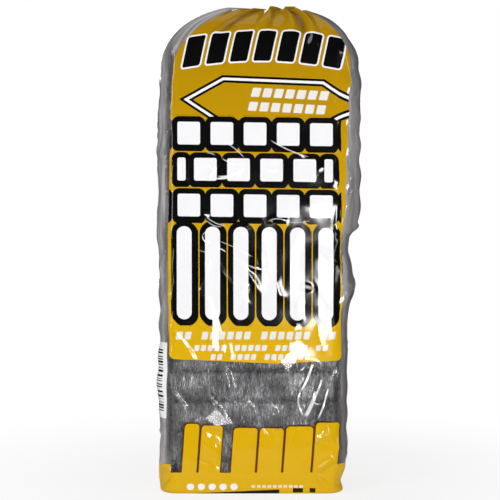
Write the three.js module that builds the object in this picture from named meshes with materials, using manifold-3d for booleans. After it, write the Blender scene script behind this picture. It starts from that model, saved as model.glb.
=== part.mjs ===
// A sleeve of steel wool hand pads, in millimetres, +Z up, standing on its folded base.
// Sixteen pads lie flat on each other in one column. A pad is a ribbon of steel wool wound flat on itself
// three times round, so its front and back edges are round folds and its two ends show the winding.
// One clear film sleeve holds the column: its base is folded flat under the bottom pad, its walls run up
// the sides, and its top is drawn in over the top pad in pleats and gathered to a short open neck.
// The origin is the middle of the base. X runs along a pad, Y from the front of the sleeve to its back.

import * as THREE from "three";
import { mergeVertices } from "three/addons/utils/BufferGeometryUtils.js";
import Module from "manifold-3d";

const wasm = await Module();
wasm.setup();

// ---- Driving dimensions ----

const PAD_COUNT = 16;
const PAD_LENGTH = 108; // along X
const PAD_DEPTH = 74; // along Y
const PAD_PITCH = 17.4; // height that each pad takes in the column
const PAD_GAP = 0.35; // between one pad and the next
const PAD_CORNER = 9; // how round a pad's corners are, seen from above
const RIBBON_RUNS = 6; // layers in a pad's section: three turns of ribbon
const RIBBON_SLIT = 0.5; // between neighbouring layers
const ARC_STEPS = 3; // curve segments to each quarter of a fold

const FILM_WALL = 0.5; // the sleeve's wall
const FILM_CLEARANCE = 0.6; // between the pads and the sleeve
const BASE_WALL = 1.2; // the folded layers under the column
const BASE_CHAMFER = 2.4; // the rounding where the walls turn under
const SEAM_Y = 12; // where the base's front flap ends on its back flap
const SEAM_WIDTH = 1;
const SEAM_DEPTH = 0.45;

const SHOULDER_START = 251; // above this height the sleeve closes in
const SHOULDER_RISE = 33;
const SHOULDER_POWER = 2.15; // 2 would be an ellipse
const PLEAT_HEIGHT = 1.8;
const NECK_SCALE = 0.07; // the neck's outline, as a share of a pad's
const NECK_BASE = 282.6;
const NECK_TOP = 285.4;
const NECK_X = 16; // the gather sits to the right of the middle and behind it
const NECK_Y = 6;

const WING_REACH = 6; // the loose film that stands off the right-hand wall
const WING_FOOT = 148;
const WING_HEAD = 258;

const CORNER_STEPS = 6;
const LONG_SIDE_STEPS = 12;
const SHORT_SIDE_STEPS = 8;
const OUTLINE_STEPS = 2 * (LONG_SIDE_STEPS + SHORT_SIDE_STEPS) + 4 * CORNER_STEPS;
const PLEAT_COUNT = OUTLINE_STEPS / 4;

const STACK_FOOT = BASE_WALL + 0.4; // the underside of the bottom pad
const STACK_HEAD = STACK_FOOT + PAD_COUNT * PAD_PITCH - PAD_GAP;

const WOOL = { color: 0x77777a, roughness: 0.55, metalness: 0.8 };
const FILM = { color: 0xe0ab0c, roughness: 0.15, metalness: 0, transparent: true, opacity: 0.6 };

// How far the shoulders have drawn in at a height: 1 in the straight walls, less above them.
function shoulderScale(z) {
  const rise = THREE.MathUtils.clamp((z - SHOULDER_START) / SHOULDER_RISE, 0, 1);
  return (1 - rise ** SHOULDER_POWER) ** (1 / SHOULDER_POWER);
}

// ---- A rolled pad ----

// The height of a ribbon's run, counted from the core: the runs lie above and below the core by turns.
function runHeight(run, pitch) {
  const turn = Math.floor(run / 2) + 0.5;
  return run % 2 === 0 ? turn * pitch : -turn * pitch;
}

// The section of a pad in Y and Z: one ribbon wound flat, drawn up its outer side and back down its inner.
function ribbonSection(thickness) {
  const pitch = (thickness + RIBBON_SLIT) / RIBBON_RUNS;
  const half = (pitch - RIBBON_SLIT) / 2;
  const largestFold = ((RIBBON_RUNS - 1) * pitch) / 2 + half;
  const foldY = PAD_DEPTH / 2 - largestFold;
  const folds = Array.from({ length: RIBBON_RUNS - 1 }, (_, run) => {
    const from = runHeight(run, pitch);
    const to = runHeight(run + 1, pitch);
    return { side: run % 2 === 0 ? 1 : -1, z: (from + to) / 2, radius: Math.abs(from - to) / 2 };
  });
  const coreY = -foldY;
  const tailY = -foldY - pitch;
  const lastZ = runHeight(RIBBON_RUNS - 1, pitch);

  const shape = new THREE.Shape();
  shape.moveTo(coreY, runHeight(0, pitch) + half);
  for (const { side, z, radius } of folds) {
    const top = Math.PI / 2;
    const start = side > 0 ? top : -top;
    shape.absarc(side * foldY, z, radius + half, start, start - Math.PI, true);
  }
  shape.lineTo(tailY, lastZ - half);
  shape.lineTo(tailY, lastZ + half);
  for (const { side, z, radius } of folds.toReversed()) {
    const start = side > 0 ? -Math.PI / 2 : Math.PI / 2;
    shape.absarc(side * foldY, z, radius - half, start, start + Math.PI, false);
  }
  shape.lineTo(coreY, runHeight(0, pitch) - half);
  shape.closePath();
  return shape;
}

// How much shorter a pad is at a distance from its middle line, where its corners are rounded.
function cornerInset(y) {
  const past = Math.max(0, Math.abs(y) - (PAD_DEPTH / 2 - PAD_CORNER));
  return PAD_CORNER - Math.sqrt(Math.max(0, PAD_CORNER ** 2 - past ** 2));
}

// One pad, with the height of its middle. Under the shoulders it is squeezed to their shape.
function pad(number) {
  const middleZ = STACK_FOOT + (number - 0.5) * PAD_PITCH - PAD_GAP / 2;
  const geometry = new THREE.ExtrudeGeometry(ribbonSection(PAD_PITCH - PAD_GAP), {
    depth: PAD_LENGTH,
    bevelEnabled: false,
    curveSegments: ARC_STEPS,
  });
  const axes = new THREE.Matrix4().makeBasis(
    new THREE.Vector3(0, 1, 0),
    new THREE.Vector3(0, 0, 1),
    new THREE.Vector3(1, 0, 0),
  );
  geometry.applyMatrix4(axes);
  geometry.translate(-PAD_LENGTH / 2, 0, 0);
  if (number % 2 === 0) geometry.rotateZ(Math.PI); // every other pad is laid the other way round
  const points = geometry.getAttribute("position");
  for (let i = 0; i < points.count; i += 1) {
    const scale = shoulderScale(middleZ + points.getZ(i));
    const reach = Math.abs(points.getX(i)) - cornerInset(points.getY(i));
    points.setX(i, Math.sign(points.getX(i)) * reach * scale);
    points.setY(i, points.getY(i) * scale);
  }
  geometry.computeVertexNormals();
  const mesh = new THREE.Mesh(geometry, new THREE.MeshStandardMaterial(WOOL));
  mesh.name = `pad_${String(number).padStart(2, "0")}`;
  mesh.position.z = middleZ;
  return mesh;
}

// ---- The film sleeve ----

// A pad's outline from above, as points with their outward directions, anticlockwise from the right.
function padOutline() {
  const flatX = PAD_LENGTH / 2 - PAD_CORNER;
  const flatY = PAD_DEPTH / 2 - PAD_CORNER;
  const corners = [
    { x: flatX, y: flatY, steps: LONG_SIDE_STEPS },
    { x: -flatX, y: flatY, steps: SHORT_SIDE_STEPS },
    { x: -flatX, y: -flatY, steps: LONG_SIDE_STEPS },
    { x: flatX, y: -flatY, steps: SHORT_SIDE_STEPS },
  ];
  const outline = [];
  corners.forEach((corner, quarter) => {
    const next = corners[(quarter + 1) % corners.length];
    for (let i = 0; i < CORNER_STEPS; i += 1) {
      const turn = ((quarter + i / CORNER_STEPS) * Math.PI) / 2;
      const out = new THREE.Vector2(Math.cos(turn), Math.sin(turn));
      outline.push({ at: new THREE.Vector2(corner.x, corner.y).addScaledVector(out, PAD_CORNER), out });
    }
    const turn = ((quarter + 1) * Math.PI) / 2;
    const out = new THREE.Vector2(Math.cos(turn), Math.sin(turn));
    for (let i = 0; i < corner.steps; i += 1) {
      const along = new THREE.Vector2(corner.x, corner.y).lerp(new THREE.Vector2(next.x, next.y), i / corner.steps);
      outline.push({ at: along.addScaledVector(out, PAD_CORNER), out });
    }
  });
  return outline;
}

// A smooth hump from 0 at its foot and head to 1 at its middle.
function hump(z, foot, head) {
  const share = THREE.MathUtils.clamp((z - foot) / (head - foot), 0, 1);
  return Math.sin(share * Math.PI) ** 0.7;
}

// How far the film stands off the pads: the wing on the right, and the pleats round the shoulders.
function standOff(index, out, z, pleat) {
  const wing = WING_REACH * hump(z, WING_FOOT, WING_HEAD) * Math.max(0, out.x) ** 2;
  const share = (index % 4) / 2;
  return wing + pleat * (share > 1 ? 2 - share : share);
}

// The sleeve's rings from the foot of its wall to the neck. Each has the outline's scale and height, the
// direction in which its wall is thick, how far it has moved to the gather, and the height of its pleats.
function wallRings() {
  const straight = [70, WING_FOOT, 162, 182, 203, 224, 240, SHOULDER_START];
  const rings = straight.map((z) => ({ scale: 1, z, outward: 1, upward: 0, drift: 0, pleat: 0 }));
  for (const share of [0.2, 0.36, 0.5, 0.62, 0.73, 0.82, 0.89]) {
    const z = SHOULDER_START + share * SHOULDER_RISE;
    const scale = shoulderScale(z);
    const slope = new THREE.Vector2(
      (scale ** (SHOULDER_POWER - 1) * 2) / (PAD_LENGTH / 2 + PAD_DEPTH / 2),
      share ** (SHOULDER_POWER - 1) / SHOULDER_RISE,
    ).normalize();
    rings.push({ scale, z, outward: slope.x, upward: slope.y, drift: 0, pleat: PLEAT_HEIGHT * share });
  }
  const crownZ = STACK_HEAD + FILM_CLEARANCE;
  for (const share of [0.35, 0.7]) {
    const scale = THREE.MathUtils.lerp(shoulderScale(STACK_HEAD), NECK_SCALE, share);
    const z = THREE.MathUtils.lerp(crownZ, NECK_BASE - 1, share);
    rings.push({ scale, z, outward: 0.1, upward: 0.99, drift: share, pleat: PLEAT_HEIGHT * 0.7 });
  }
  rings.push({ scale: NECK_SCALE, z: NECK_BASE, outward: 0.7, upward: 0.7, drift: 1, pleat: 0.5 });
  rings.push({ scale: NECK_SCALE, z: NECK_TOP, outward: 1, upward: 0, drift: 1, pleat: 0.5 });
  return rings;
}

// The sleeve's closed surface: out over the base, up the outside, over the neck's rim and down the inside.
function sleeveSolid() {
  const outline = padOutline();
  const place = (ring, off) =>
    outline.map(({ at, out }, index) => {
      const away = off + standOff(index, out, ring.z, ring.pleat);
      return new THREE.Vector3(
        at.x * ring.scale + out.x * ring.outward * away + NECK_X * ring.drift,
        at.y * ring.scale + out.y * ring.outward * away + NECK_Y * ring.drift,
        ring.z + ring.upward * away,
      );
    });
  const level = (z, off) => place({ scale: 1, z, outward: 1, upward: 0, drift: 0, pleat: 0 }, off);
  const outside = FILM_CLEARANCE + FILM_WALL;
  const walls = wallRings();
  const rings = [
    level(0, outside - BASE_CHAMFER),
    level(BASE_CHAMFER * 0.3, outside - BASE_CHAMFER * 0.3),
    level(BASE_CHAMFER, outside),
    ...walls.map((ring) => place(ring, outside)),
    ...walls.toReversed().map((ring) => place(ring, FILM_CLEARANCE)),
    level(BASE_CHAMFER + 1, FILM_CLEARANCE),
    level(BASE_WALL, FILM_CLEARANCE - 0.4),
  ];
  const points = rings.flat();
  const footCentre = points.push(new THREE.Vector3(0, 0, 0)) - 1;
  const floorCentre = points.push(new THREE.Vector3(0, 0, BASE_WALL)) - 1;
  const faces = [];
  for (let i = 0; i < OUTLINE_STEPS; i += 1) {
    const j = (i + 1) % OUTLINE_STEPS;
    const last = (rings.length - 1) * OUTLINE_STEPS;
    faces.push(footCentre, j, i, floorCentre, last + i, last + j);
    for (let ring = 0; ring < rings.length - 1; ring += 1) {
      const low = ring * OUTLINE_STEPS;
      const high = low + OUTLINE_STEPS;
      faces.push(low + i, low + j, high + j, low + i, high + j, high + i);
    }
  }
  const geometry = new THREE.BufferGeometry().setFromPoints(points);
  geometry.setIndex(faces);
  return solidFrom(geometry);
}

// The lines that the folded film leaves in the base: the front flap's edge, and a slanting fold in each corner.
function foldLines() {
  const edgeX = PAD_LENGTH / 2 - BASE_CHAMFER;
  const edgeY = PAD_DEPTH / 2 - BASE_CHAMFER;
  const innerX = edgeX - edgeY + SEAM_Y;
  return [
    [-innerX, SEAM_Y, innerX, SEAM_Y],
    [innerX, SEAM_Y, edgeX, edgeY],
    [-innerX, SEAM_Y, -edgeX, edgeY],
    [innerX, SEAM_Y, edgeX, -edgeY],
    [-innerX, SEAM_Y, -edgeX, -edgeY],
  ];
}

// A shallow groove in the underside of the base, from one point to another.
function groove([fromX, fromY, toX, toY]) {
  const length = Math.hypot(toX - fromX, toY - fromY);
  const box = new THREE.BoxGeometry(length, SEAM_WIDTH, 2 * SEAM_DEPTH);
  box.rotateZ(Math.atan2(toY - fromY, toX - fromX));
  box.translate((fromX + toX) / 2, (fromY + toY) / 2, 0);
  return solidFrom(box);
}

// ---- Closed meshes in and out of the boolean library ----

function solidFrom(geometry) {
  const bare = geometry.clone();
  bare.deleteAttribute("normal");
  bare.deleteAttribute("uv");
  const merged = mergeVertices(bare);
  return new wasm.Manifold(
    new wasm.Mesh({
      numProp: 3,
      vertProperties: new Float32Array(merged.attributes.position.array),
      triVerts: new Uint32Array(merged.index.array),
    }),
  );
}

function geometryFrom(solid) {
  const { vertProperties, triVerts } = solid.getMesh();
  const geometry = new THREE.BufferGeometry();
  geometry.setAttribute("position", new THREE.BufferAttribute(vertProperties, 3));
  geometry.setIndex(new THREE.BufferAttribute(triVerts, 1));
  geometry.computeVertexNormals();
  return geometry;
}

function filmSleeve() {
  const cut = sleeveSolid().subtract(wasm.Manifold.union(foldLines().map(groove))).simplify(0.01);
  const mesh = new THREE.Mesh(geometryFrom(cut), new THREE.MeshStandardMaterial(FILM));
  mesh.name = "film_sleeve";
  return mesh;
}

// ---- The whole pack ----

const pack = new THREE.Group();
pack.add(filmSleeve());
for (let number = 1; number <= PAD_COUNT; number += 1) pack.add(pad(number));

export default pack;
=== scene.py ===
# A pack of steel wool hand pads: sixteen rolled pads in one column, inside a printed clear film sleeve
# that is folded flat under them and gathered above them. Lengths are in metres.
import math

import bpy
import numpy as np
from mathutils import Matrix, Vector, noise


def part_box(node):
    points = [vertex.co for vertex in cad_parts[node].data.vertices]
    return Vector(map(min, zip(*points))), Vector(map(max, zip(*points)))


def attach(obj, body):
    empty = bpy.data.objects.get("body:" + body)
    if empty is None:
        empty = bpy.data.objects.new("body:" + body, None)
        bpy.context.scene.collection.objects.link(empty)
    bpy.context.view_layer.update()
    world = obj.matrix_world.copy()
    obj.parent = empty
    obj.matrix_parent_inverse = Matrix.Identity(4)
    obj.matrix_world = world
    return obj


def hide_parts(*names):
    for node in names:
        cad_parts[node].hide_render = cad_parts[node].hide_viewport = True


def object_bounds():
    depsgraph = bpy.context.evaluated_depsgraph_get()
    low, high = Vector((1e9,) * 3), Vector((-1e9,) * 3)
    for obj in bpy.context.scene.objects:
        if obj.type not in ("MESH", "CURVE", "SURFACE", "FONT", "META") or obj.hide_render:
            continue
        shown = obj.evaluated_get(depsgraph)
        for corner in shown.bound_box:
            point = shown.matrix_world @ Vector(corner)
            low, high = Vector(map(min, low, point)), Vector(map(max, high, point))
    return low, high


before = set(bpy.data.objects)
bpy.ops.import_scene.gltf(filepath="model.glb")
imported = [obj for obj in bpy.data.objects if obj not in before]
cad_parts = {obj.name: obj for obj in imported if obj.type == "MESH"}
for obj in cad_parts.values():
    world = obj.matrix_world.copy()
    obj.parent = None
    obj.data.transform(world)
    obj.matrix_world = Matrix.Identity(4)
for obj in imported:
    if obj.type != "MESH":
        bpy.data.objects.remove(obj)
cad_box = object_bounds()


# The stand and the light. The pack stands on a pale matt table that runs out into white, lit by a broad
# soft lamp over its left shoulder, a tall one at its right, and small ones that draw the film's glints.
MM = 0.001
low, high = (Vector(corner) for corner in cad_box)
EYE_HEIGHT = 0.1416
EYE_SIDE = -0.0020
EYE_REACH = 0.2876  # width of the view at the pack's front
EYE_LENS = 100.0
EYE_SENSOR = 36.0
EYE_TILT = math.radians(2.5)

eye_data = bpy.data.cameras.new("eye")
eye_data.lens = EYE_LENS
eye_data.sensor_width = EYE_SENSOR
eye = bpy.data.objects.new("eye", eye_data)
bpy.context.collection.objects.link(eye)
front_middle = Vector((EYE_SIDE, low.y, EYE_HEIGHT))
eye_way = EYE_REACH * EYE_LENS / EYE_SENSOR
eye.location = front_middle + eye_way * Vector((0, -math.cos(EYE_TILT), math.sin(EYE_TILT)))
eye.rotation_euler = (math.pi / 2 - EYE_TILT, 0, 0)
bpy.context.scene.camera = eye
bpy.context.scene.view_settings.view_transform = "Standard"

TABLE_REACH = 30.0
table_mesh = bpy.data.meshes.new("table")
table_mesh.from_pydata(
    [(x * TABLE_REACH, y * TABLE_REACH, low.z) for x, y in ((-1, -1), (1, -1), (1, 1), (-1, 1))],
    [],
    [(0, 1, 2, 3)],
)
table = bpy.data.objects.new("table", table_mesh)
bpy.context.collection.objects.link(table)

TABLE_WHITE = (0.93, 0.93, 0.93, 1)
TABLE_DARK = (0.03, 0.03, 0.03, 1)
TABLE_END = 0.16
SHADE_START, SHADE_END = 0.06, 0.30  # between these distances the table runs out into white
NEAR_WHITE = 0.80  # how far it is white already under the pack
table_paint = bpy.data.materials.new("table_paint")
table_paint.use_nodes = True
nodes, links = table_paint.node_tree.nodes, table_paint.node_tree.links
matt = nodes["Principled BSDF"]
matt.inputs["Base Color"].default_value = TABLE_WHITE
matt.inputs["Roughness"].default_value = 0.8
matt.inputs["Specular IOR Level"].default_value = 0.1
far_white = nodes.new("ShaderNodeEmission")
far_white.inputs["Color"].default_value = (1, 1, 1, 1)
place = nodes.new("ShaderNodeTexCoord")
distance = nodes.new("ShaderNodeVectorMath")
distance.operation = "LENGTH"
links.new(place.outputs["Object"], distance.inputs[0])
fade = nodes.new("ShaderNodeMapRange")
fade.interpolation_type = "SMOOTHSTEP"
fade.inputs["From Min"].default_value = SHADE_START
fade.inputs["From Max"].default_value = SHADE_END
fade.inputs["To Min"].default_value = NEAR_WHITE
links.new(distance.outputs["Value"], fade.inputs["Value"])
spread = nodes.new("ShaderNodeMixShader")
table_seen = nodes.new("ShaderNodeLightPath")
bright = nodes.new("ShaderNodeMath")
bright.operation = "MULTIPLY"
links.new(table_seen.outputs["Is Camera Ray"], bright.inputs[0])
links.new(fade.outputs["Result"], bright.inputs[1])
links.new(bright.outputs["Value"], spread.inputs["Fac"])
links.new(matt.outputs["BSDF"], spread.inputs[1])
links.new(far_white.outputs["Emission"], spread.inputs[2])
# the gloss of the film mirrors the table only up to its end, as if it stood in a dark room
dark = nodes.new("ShaderNodeBsdfDiffuse")
dark.inputs["Color"].default_value = TABLE_DARK
past_end = nodes.new("ShaderNodeMath")
past_end.operation = "GREATER_THAN"
past_end.inputs[1].default_value = TABLE_END
links.new(distance.outputs["Value"], past_end.inputs[0])
mirror_dark = nodes.new("ShaderNodeMath")
mirror_dark.operation = "MULTIPLY"
links.new(table_seen.outputs["Is Glossy Ray"], mirror_dark.inputs[0])
links.new(past_end.outputs["Value"], mirror_dark.inputs[1])
ending = nodes.new("ShaderNodeMixShader")
links.new(mirror_dark.outputs["Value"], ending.inputs["Fac"])
links.new(spread.outputs["Shader"], ending.inputs[1])
links.new(dark.outputs["BSDF"], ending.inputs[2])
links.new(ending.outputs["Shader"], nodes["Material Output"].inputs["Surface"])
table_mesh.materials.append(table_paint)

ROOM_GREY = (0.27, 0.27, 0.28, 1)
ROOM_DIM = (0.03, 0.03, 0.032, 1)  # what the film and the steel mirror of it
room = bpy.data.worlds.new("room")
bpy.context.scene.world = room
room.use_nodes = True
nodes, links = room.node_tree.nodes, room.node_tree.links
room_light = nodes["Background"]
room_light.inputs["Color"].default_value = ROOM_GREY
room_wall = nodes.new("ShaderNodeBackground")
room_wall.inputs["Color"].default_value = (1, 1, 1, 1)
seen = nodes.new("ShaderNodeLightPath")
either = nodes.new("ShaderNodeMixShader")
links.new(seen.outputs["Is Camera Ray"], either.inputs["Fac"])
links.new(room_light.outputs["Background"], either.inputs[1])
links.new(room_wall.outputs["Background"], either.inputs[2])
room_dim = nodes.new("ShaderNodeBackground")
room_dim.inputs["Color"].default_value = ROOM_DIM
mirrored = nodes.new("ShaderNodeMixShader")
links.new(seen.outputs["Is Glossy Ray"], mirrored.inputs["Fac"])
links.new(either.outputs["Shader"], mirrored.inputs[1])
links.new(room_dim.outputs["Background"], mirrored.inputs[2])
links.new(mirrored.outputs["Shader"], nodes["World Output"].inputs["Surface"])


def lamp(name, place, width, height, power):
    """A rectangular lamp at a place, turned to the middle of the pack."""
    data = bpy.data.lights.new(name, "AREA")
    data.shape = "RECTANGLE"
    data.size = width
    data.size_y = height
    data.energy = power
    made = bpy.data.objects.new(name, data)
    bpy.context.collection.objects.link(made)
    made.location = place
    aim = Vector((0, 0, high.z / 2)) - made.location
    made.rotation_euler = aim.to_track_quat("-Z", "Y").to_euler()
    return made


lamp("lamp_over_left", (-0.75, -0.75, 0.85), 0.45, 0.45, 3.9)
lamp("lamp_right", (0.95, -0.45, 0.35), 0.25, 0.60, 1.0)
lamp("lamp_above", (0.10, 0.10, 1.05), 0.60, 0.40, 0.6)
lamp("strip_left", (-0.42, -0.85, 0.33), 0.05, 0.60, 1.3)
lamp("strip_right", (0.40, -0.88, 0.33), 0.04, 0.60, 1.1)
lamp("lamp_low_front", (0.12, -0.80, 0.07), 0.10, 0.10, 1.5)
lamp("lamp_behind", (-0.30, 0.95, 0.60), 0.50, 0.50, 3.0)


# The pads. Each is a ribbon of matted steel fibre wound flat on itself three times: round folds at the
# front and the back, and at its two ends the edges of the winding. Nothing fixes one pad to the next.
PAD_NODES = [n for n in sorted(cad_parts) if n.startswith("pad_")]
PAD_ROUND = 5.5 * MM  # corners seen from above
FOLD_ROUND = 0.7 * MM  # the fold's rounding at its top and bottom
LAYER = 2.9 * MM  # thickness of the ribbon
PAD_SHRINK = Vector((1.4 * MM, 1.0 * MM, 0.05 * MM))  # room that a pad leaves inside its place, each side
SHOULDER_START = 251 * MM
SHOULDER_RISE = 33 * MM
SHOULDER_POWER = 2.15
FIBRES_ON_FOLD = 860
FIBRES_ON_END = 380
FIBRE_POINTS = 7
FIBRE_BRIDGES = 3.5 * MM  # how far past a pad's fold a fibre may run, on to the next pad
FIRST_DRAWN_IN = 2.8 * MM  # how much the folded corners of the film press in the ends of the bottom pad


def drawn_in(z):
    """How far the shoulders have drawn in at a height: 1 below them, less above."""
    rise = np.clip((z - SHOULDER_START) / SHOULDER_RISE, 0, 1)
    return (1 - rise**SHOULDER_POWER) ** (1 / SHOULDER_POWER)


LEAN_HEIGHTS = np.array((0, 225, 246, 262, 271, 278, 284)) * MM
LEAN_TO_RIGHT = np.array((0, 0, 1.2, 3.0, 4.4, 6.6, 8.6)) * MM


def leans(z):
    """How far the head of the column leans to the right at a height."""
    return np.interp(z, LEAN_HEIGHTS, LEAN_TO_RIGHT)


def box_loop(along, half_y, half_z, corner):
    """Points and outward directions on a round-cornered loop, at shares from 0 to 1 of its length.
    It starts at the middle of the front, y below zero, and goes up first."""
    corner = np.clip(corner, 0.02 * half_z, 0.98 * half_z)
    flat_z, flat_y, bend = half_z - corner, half_y - corner, corner * math.pi / 2
    total = 4 * (flat_z + flat_y + bend)
    way = (along % 1.0) * total
    mirror = way > total / 2
    way = np.where(mirror, total - way, way)
    lower = way > total / 4
    way = np.where(lower, total / 2 - way, way)
    # one quarter: up the front, round the corner, back along the top
    turn = np.clip((way - flat_z) / bend, 0, 1) * math.pi / 2
    z = np.minimum(way, flat_z) + corner * np.sin(turn)
    y = -half_y + corner * (1 - np.cos(turn)) + np.clip(way - flat_z - bend, 0, None)
    out_y, out_z = -np.cos(turn), np.sin(turn)
    y, out_y = np.where(lower, -y, y), np.where(lower, -out_y, out_y)
    z, out_z = np.where(mirror, -z, z), np.where(mirror, -out_z, out_z)
    return y, z, out_y, out_z


def pad_place(side, along, inward, half, fold=FOLD_ROUND):
    """Points of a pad's skin at a depth inward from its rim; side is the share from -1 to 1 along the pad."""
    y, z, out_y, out_z = box_loop(along, half.y - inward, half.z - inward, np.maximum(fold - inward * 0.3, 0))
    past = np.clip(np.abs(y) - (half.y - PAD_ROUND), 0, PAD_ROUND)
    inset = PAD_ROUND - np.sqrt(PAD_ROUND**2 - past**2)
    return side * (half.x - inset * np.abs(side) ** 14), y, z, out_y, out_z


def rough(points, size, seed):
    """Smooth noise from -1 to 1 at points, with lumps of about the given size."""
    shift = Vector((seed * 7.31, seed * 3.17, seed * 5.03))
    return np.array([noise.noise(Vector(p) / size + shift) for p in points])


def grid_faces(rows, columns, start=0, closed=True):
    """Quads between rows of points; a closed row joins its last point to its first."""
    i, j = np.meshgrid(np.arange(rows - 1), np.arange(columns if closed else columns - 1), indexing="ij")
    k = (j + 1) % columns
    faces = np.stack([i * columns + j, i * columns + k, (i + 1) * columns + k, (i + 1) * columns + j], -1)
    return faces.reshape(-1, 4) + start


def mesh_from(name, points, faces, uvs, maps=("wind",)):
    """A mesh with smooth faces, and for each map one pair of coordinates for every face corner."""
    mesh = bpy.data.meshes.new(name)
    mesh.from_pydata([tuple(p) for p in points], [], [tuple(f) for f in faces])
    mesh.shade_smooth()
    for map_name, pairs in zip(maps, uvs):
        layer = mesh.uv_layers.new(name=map_name)
        layer.data.foreach_set("uv", np.asarray(pairs, dtype=np.float32).ravel())
    made = bpy.data.objects.new(name, mesh)
    bpy.context.collection.objects.link(made)
    return made


def pad_body(half, seed):
    """The wound ribbon as one closed skin: its round outside and its two layered ends."""
    rounds, lengths = 84, 58
    along = np.arange(rounds) / rounds
    perimeter = 4 * (half.y + half.z)
    rows, winds = [], []

    def end_rows(side):
        depths = np.concatenate([np.arange(0.05, 2.8, 0.24) * LAYER, [half.z * 0.97]])
        kept = []
        for depth in depths:
            x, y, z, _, _ = pad_place(side, along, depth, half)
            layer_share = (depth / LAYER) % 1.0
            groove = math.exp(-((min(layer_share, 1 - layer_share) * LAYER / (0.45 * MM)) ** 2))
            layer = along * 0 + math.floor(depth / LAYER)
            ragged = rough(np.stack([along * 9, layer, along * 0], 1), 1, seed)
            rim = math.exp(-depth / (0.5 * MM))
            back = (0.7 + 1.9 * groove + 0.9 * ragged + 1.05 * rim) * MM
            kept.append(np.stack([x - side * back, y, z], 1))
            winds.append((along * perimeter, np.full(rounds, depth + half.x)))
        return kept

    left = end_rows(-1)
    rows += left[::-1]
    winds[:] = winds[::-1]
    for side in np.linspace(-1, 1, lengths):
        soft = 0.9 * MM * max(0.0, (abs(side) - 0.97) / 0.03) ** 2
        x, y, z, _, _ = pad_place(side, along, soft, half)
        rows.append(np.stack([x * 0.992, y, z], 1))
        winds.append((along * perimeter, np.full(rounds, side * half.x)))
    rows += end_rows(1)
    points = np.concatenate(rows)
    lumps = rough(points, 12 * MM, seed) * 0.5 + rough(points, 3.5 * MM, seed + 1) * 0.35
    _, _, _, out_y, out_z = pad_place(1, along, 0, half)
    share = np.tile(np.stack([out_y, out_z], 1), (len(rows), 1))
    points[:, 1] += share[:, 0] * (lumps - 0.45) * MM
    points[:, 2] += share[:, 1] * (lumps * 0.55 + 0.06) * MM
    faces = grid_faces(len(rows), rounds)
    wind = np.stack([np.concatenate([w[0] for w in winds]), np.concatenate([w[1] for w in winds])], 1)
    uv = wind[faces]
    wrapped = (faces[:, 1] % rounds == 0) & (faces[:, 0] % rounds == rounds - 1)
    uv[wrapped, 1, 0] += perimeter
    uv[wrapped, 2, 0] += perimeter
    # the two cores close in a flat line, whose points are joined across
    caps, cap_uv = [], []
    for start in (0, (len(rows) - 1) * rounds):
        for j in range(rounds // 2):
            a, b = start + j, start + (j + 1) % rounds
            c, d = start + (rounds - j - 1) % rounds, start + (rounds - j) % rounds
            quad = [a, b, c, d] if start else [d, c, b, a]
            quad = list(dict.fromkeys(quad))
            if len(quad) >= 3:
                caps.append(quad)
                cap_uv += [tuple(wind[k]) for k in quad]
    return points, [tuple(f) for f in faces] + [tuple(c) for c in caps], uv.reshape(-1, 2), cap_uv


def pad_fibres(half, count, region, draw):
    """Loose fibres that lie on the pad: thin strips that follow the winding with some wandering."""
    perimeter = 4 * (half.y + half.z)
    folds = region == "folds"
    steps = FIBRE_POINTS - 1
    length = draw.uniform(7, 22, count) * MM
    heading = draw.normal(0, 0.34, count)
    bend = np.cumsum(draw.normal(0, 0.16, (count, FIBRE_POINTS)), 1)
    angle = heading[:, None] + bend
    step = (length / steps)[:, None]
    run = np.cumsum(np.cos(angle), 1) * step - (length / 2)[:, None]
    drift = np.cumsum(np.sin(angle), 1) * step
    if folds:
        front = draw.uniform(-0.62, 0.62, count) * half.z * 2
        back = draw.random(count) < 0.5
        at = (front[:, None] + run) / perimeter + np.where(back, 0.5, 0.0)[:, None]
        side = np.clip((draw.uniform(-1, 1, count)[:, None] * half.x + drift) / half.x, -1, 1)
        proud = half + Vector((0, 0, FIBRE_BRIDGES))
        x, y, z, out_y, out_z = pad_place(side, at, 0.0, proud, 1.4 * MM)
        x = x * 0.985
        lift = draw.uniform(-0.15, 0.30, (count, 1)) * MM + np.abs(bend) * 0.12 * MM
        spot = np.stack([x, y + out_y * lift, z + out_z * lift], -1)
        outward = np.stack([np.zeros_like(x), out_y, out_z], -1)
    else:
        at = draw.random(count)[:, None] + run / perimeter
        depth = np.clip((draw.random(count) ** 0.8)[:, None] * half.z * 0.95 + drift, 0.2 * MM, half.z * 0.96)
        end = np.where(draw.random(count) < 0.5, -1.0, 1.0)[:, None]
        x, y, z, out_y, out_z = pad_place(end, at, depth, half)
        lift = (0.55 - draw.uniform(0, 1.2, (count, 1))) * MM
        spot = np.stack([x + end * lift, y, z], -1)
        outward = np.stack([end + 0 * x, 0 * x, 0 * x], -1)
    tangent = np.gradient(spot, axis=1)
    across = np.cross(tangent, outward)
    across /= np.linalg.norm(across, axis=-1, keepdims=True) + 1e-12
    width = draw.uniform(0.05, 0.11, (count, 1, 1)) * MM
    taper = np.sin(np.linspace(0.25, math.pi - 0.25, FIBRE_POINTS))[None, :, None]
    pair = np.stack([spot - across * width * taper, spot + across * width * taper], 2)
    points = pair.reshape(-1, 3)
    first = (np.arange(count)[:, None] * FIBRE_POINTS + np.arange(steps)[None, :]).reshape(-1) * 2
    faces = np.stack([first, first + 1, first + 3, first + 2], 1)
    tone = np.repeat(draw.random(count), steps * 4)
    uv = np.stack([np.tile([0.0, 0.0, 2.0, 2.0], len(faces)) * MM, 0.4 + tone], 1)
    return points, faces, uv


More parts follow.
